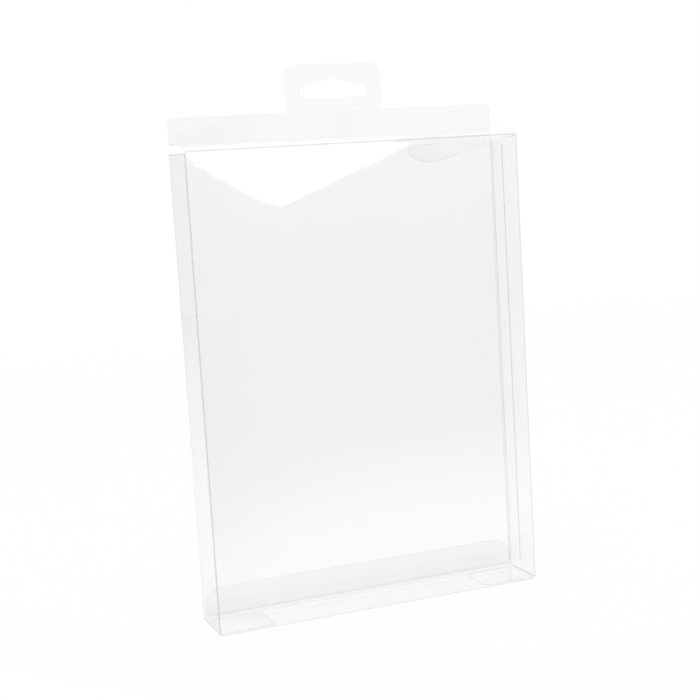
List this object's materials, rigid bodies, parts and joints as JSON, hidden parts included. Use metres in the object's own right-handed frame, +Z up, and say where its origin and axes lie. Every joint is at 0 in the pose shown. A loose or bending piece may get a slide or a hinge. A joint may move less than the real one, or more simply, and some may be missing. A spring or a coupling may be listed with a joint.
{
  "type": "clear folding box",
  "caption": "Slim upright clear film box with a creased front, drooping dust flaps, a header with a slotted hang tab, and a hinged bottom lid with a tuck flap.",
  "frame": {"origin": "centre of the box's base, on the plane that the closed bottom lid rests on", "axes": "+X to the right as seen from the front, +Y to the back panel and its hang tab, +Z up to the tab"},
  "size_m": [0.15, 0.0244, 0.235],
  "materials": {
    "clear_film": "clear gloss film"
  },
  "bodies": {
    "sleeve": {"sleeve": "clear_film"},
    "bottom_lid": {"bottom_lid": "clear_film"},
    "tuck_flap": {"tuck_flap": "clear_film"}
  },
  "joints": [
    {"name": "lid_hinge", "type": "hinge", "parent": "sleeve", "child": "bottom_lid", "pos_m": [0, -0.0121, 0.00015], "axis": [-1, 0, 0], "range_deg": [0, 100]},
    {"name": "tuck_hinge", "type": "hinge", "parent": "bottom_lid", "child": "tuck_flap", "pos_m": [0, 0.0106, 0.00222], "axis": [1, 0, 0], "range_deg": [0, 65]}
  ],
  "couplings": [
    {"joint": "tuck_hinge", "follows": "lid_hinge", "ratio": 0.65}
  ]
}
